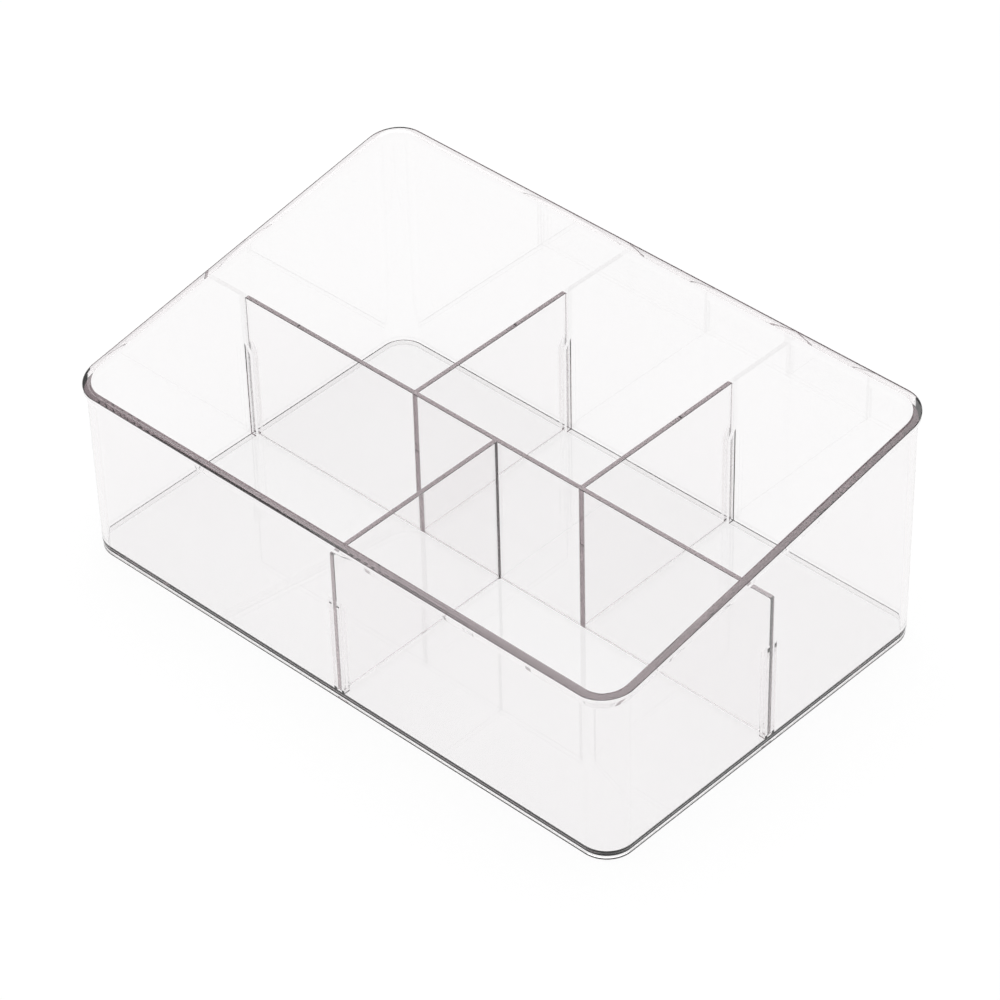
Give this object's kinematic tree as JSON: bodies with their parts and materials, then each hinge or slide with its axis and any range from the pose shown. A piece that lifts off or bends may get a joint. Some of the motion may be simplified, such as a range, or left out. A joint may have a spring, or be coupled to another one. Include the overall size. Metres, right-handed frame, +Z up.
{
  "type": "sorting tray",
  "caption": "Clear desk sorting tray with a low front wall, a taller back wall, a sloping rim with a narrow lip, and a lift-out divider insert held by ribs.",
  "frame": {"origin": "on the table surface, under the middle of the tray", "axes": "+Z up, X along the long side, the low front wall towards -Y and the tall back wall towards +Y"},
  "size_m": [0.26, 0.1689, 0.1013],
  "materials": {
    "clear_plastic": "clear, polished"
  },
  "bodies": {
    "tray": {"tray": "clear_plastic"},
    "divider_insert": {"long_divider": "clear_plastic", "rear_left_divider": "clear_plastic", "rear_right_divider": "clear_plastic", "front_divider": "clear_plastic"}
  },
  "joints": [
    {"name": "insert_lift", "type": "slide", "parent": "tray", "child": "divider_insert", "axis": [0, 0, 1], "range_m": [0, 0.11]}
  ]
}
